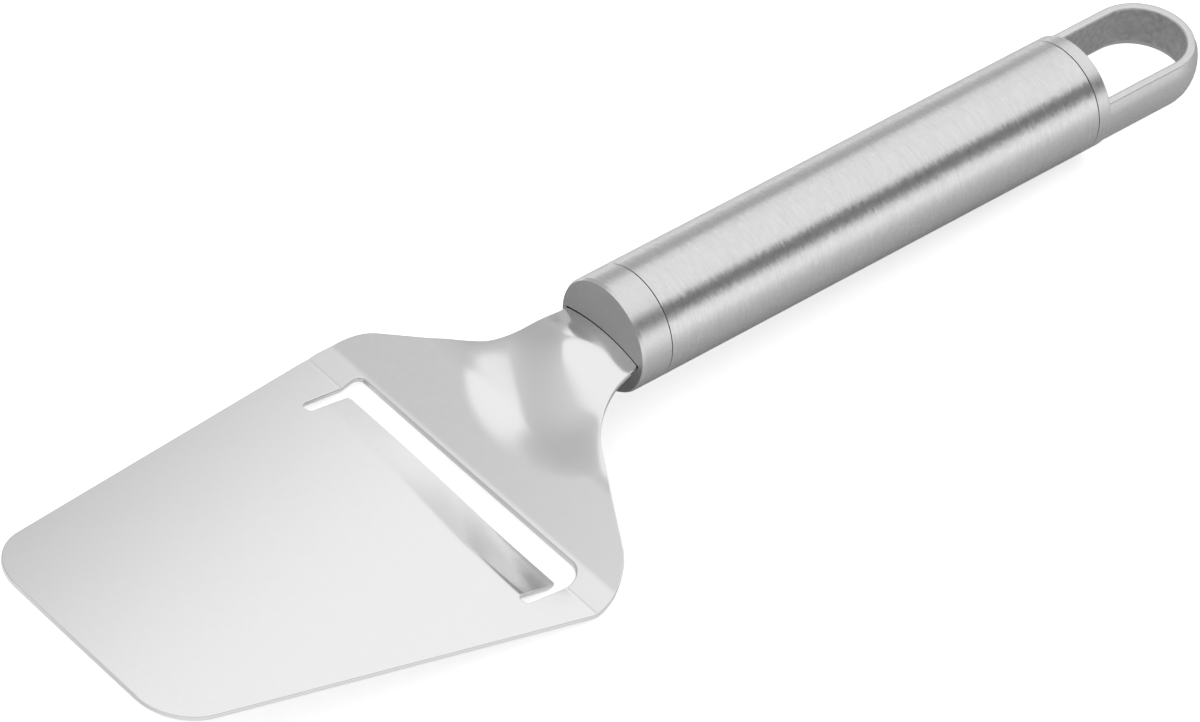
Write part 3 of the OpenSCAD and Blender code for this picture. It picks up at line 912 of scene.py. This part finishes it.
def build_floor():
    """A pale floor. What reflections see of it is lit at the sides and under the front of the blade."""
    floor, n = flat_piece("floor", "pale floor", FLOOR_HALF, FLOOR_HALF)
    path = n.add("ShaderNodeLightPath")
    split = n.add("ShaderNodeSeparateXYZ", {0: n.add("ShaderNodeTexCoord").outputs["Object"]})
    aside = n.math("ABSOLUTE", split.outputs["Y"])
    sides = n.ramp(aside, SIDE_GLOW_FROM, SIDE_GLOW_TO, 0.0, SIDE_GLOW)
    front = n.ramp(split.outputs["X"], BLADE_GLOW_FROM, BLADE_GLOW_TO, BLADE_GLOW, 0.0, smooth=True)
    shade = n.ramp(aside, 0.0, SHADE_TO, SHADE, 0.0, smooth=True)
    pale = n.math("SUBTRACT", FLOOR_PALE, n.math("MULTIPLY", path.outputs["Is Glossy Ray"], shade))
    lit = n.math("ADD", n.math("MULTIPLY", path.outputs["Is Camera Ray"], FLOOR_GLOW),
                 n.math("MULTIPLY", path.outputs["Is Glossy Ray"], n.math("MAXIMUM", sides, front)))
    diffuse = n.add("ShaderNodeBsdfDiffuse", {"Color": pale})
    glow = n.add("ShaderNodeEmission", {"Color": (1, 1, 1, 1), "Strength": lit})
    both = n.add("ShaderNodeAddShader", {0: diffuse.outputs[0], 1: glow.outputs[0]})
    n.add("ShaderNodeOutputMaterial", {"Surface": both.outputs[0]})


def build_card():
    """A card that the camera doesn't see. From the slicer, its glow goes from grey at the left to white at
    the right and at the top, its foot is darker and its rims fade out."""
    card, n = flat_piece("card", "card glow", CARD_HALF_WIDE, CARD_HALF_HIGH)
    away = direction(*CARD_DIRECTION)
    right = away.cross(Vector((0, 0, 1))).normalized()
    up = right.cross(away)
    turn = Matrix((right, up, -away)).transposed().to_4x4()
    aim = REST @ Vector((CARD_AIM_X, 0, 0))
    card.matrix_world = Matrix.Translation(aim + away * CARD_DISTANCE) @ turn
    card.visible_camera = False
    card.visible_shadow = False
    split = n.add("ShaderNodeSeparateXYZ", {0: n.add("ShaderNodeTexCoord").outputs["Object"]})
    x, y = split.outputs["X"], split.outputs["Y"]
    slant = n.math("ADD", x, n.math("MULTIPLY", y, CARD_SLANT))
    across = n.ramp(slant, CARD_GREY_AT, CARD_WHITE_AT, CARD_GREY, CARD_WHITE, smooth=True)
    rise = n.ramp(y, FOOT_AT, FOOT_END, FOOT_SHARE, 1.0, smooth=True)
    fades = [n.ramp(n.math("ABSOLUTE", place), half * CARD_SOLID, half, 1, 0, smooth=True)
             for place, half in ((x, CARD_HALF_WIDE), (y, CARD_HALF_HIGH))]
    glow = n.add("ShaderNodeEmission", {"Color": (1, 1, 1, 1), "Strength": n.math("MULTIPLY", across, rise)})
    clear = n.add("ShaderNodeBsdfTransparent")
    mix = n.add("ShaderNodeMixShader", {"Fac": n.math("MULTIPLY", *fades), 1: clear.outputs[0],
                                        2: glow.outputs[0]})
    n.add("ShaderNodeOutputMaterial", {"Surface": mix.outputs[0]})


def build_world():
    """Surroundings without colour. The patch, the soft box, the horizon and the dark band are laid over
    each other in turn, and the camera sees plain white."""
    world = bpy.data.worlds.new("soft surroundings")
    bpy.context.scene.world = world
    world.use_nodes = True
    n = Nodes(world.node_tree)
    toward = n.add("ShaderNodeTexCoord").outputs["Generated"]
    split = n.add("ShaderNodeSeparateXYZ", {0: toward})
    x, y, z = (split.outputs[axis] for axis in "XYZ")
    level = n.ramp(z, 0.0, HIGH_SINE, LEVEL_LOW, LEVEL_HIGH)

    azimuth, elevation, inner, outer, value = SOFT_PATCH
    facing = n.add("ShaderNodeVectorMath", {0: toward, 1: direction(azimuth, elevation)},
                   operation="DOT_PRODUCT").outputs["Value"]
    outer_cosine, inner_cosine = math.cos(math.radians(outer)), math.cos(math.radians(inner))
    share = n.ramp(facing, outer_cosine, inner_cosine, 0, 1, smooth=True)
    level = n.blend(share, level, value)

    side_in, side_out, end_out, end_in, value = SOFT_BOX
    height = n.math("MAXIMUM", z, 0.001)
    sides = n.ramp(n.math("DIVIDE", y, height), side_in, side_out, 1, 0, smooth=True)
    end = n.ramp(n.math("DIVIDE", x, height), end_out, end_in, 0, 1, smooth=True)
    share = n.math("MULTIPLY", n.math("MULTIPLY", sides, end), n.ramp(z, 0.0, BOX_SINE, 0, 1))
    level = n.blend(share, level, value)

    angle = n.math("ARCTAN2", z, n.math("MULTIPLY", y, -1))
    fade_from, fade_to, value = HORIZON
    level = n.blend(n.ramp(angle, fade_from, fade_to, 1, 0, smooth=True), level, value)

    begin, full, fade_from, fade_to, value = DARK_BAND
    rise = n.ramp(angle, begin, full, 0, 1, smooth=True)
    fall = n.ramp(angle, fade_from, fade_to, 1, 0, smooth=True)
    level = n.blend(n.math("MULTIPLY", rise, fall), level, value)

    level = n.blend(n.add("ShaderNodeLightPath").outputs["Is Camera Ray"], level, 1.0)
    back = n.add("ShaderNodeBackground", {"Color": (1, 1, 1, 1), "Strength": level})
    n.add("ShaderNodeOutputWorld", {"Surface": back.outputs[0]})


# Camera at the photograph's angle: degrees, the point it looks at, its distance and its lens in millimetres
CAMERA_AZIMUTH = -43.3004
CAMERA_ELEVATION = 45.0721
CAMERA_ROLL = 3.6372
CAMERA_AIM = Vector((-9.515, 1.976, 7.925)) * MM
CAMERA_DISTANCE = 1358.198 * MM
CAMERA_LENS = 247.65


def build_camera():
    data = bpy.data.cameras.new("camera")
    data.lens = CAMERA_LENS
    data.sensor_width = 36
    data.clip_start, data.clip_end = 0.05, 50
    camera = bpy.data.objects.new("camera", data)
    bpy.context.scene.collection.objects.link(camera)
    a, e, r = (math.radians(v) for v in (CAMERA_AZIMUTH, CAMERA_ELEVATION, CAMERA_ROLL))
    back = Vector((math.sin(a) * math.cos(e), -math.cos(a) * math.cos(e), math.sin(e)))
    level_right = Vector((math.cos(a), math.sin(a), 0))
    level_up = back.cross(level_right)
    right = level_right * math.cos(r) + level_up * math.sin(r)
    up = level_up * math.cos(r) - level_right * math.sin(r)
    camera.matrix_world = (Matrix.Translation(CAMERA_AIM + back * CAMERA_DISTANCE)
                           @ Matrix((right, up, back)).transposed().to_4x4())
    bpy.context.scene.camera = camera


build_floor()
build_card()
build_world()
build_camera()
bpy.context.scene.view_settings.view_transform = "Standard"
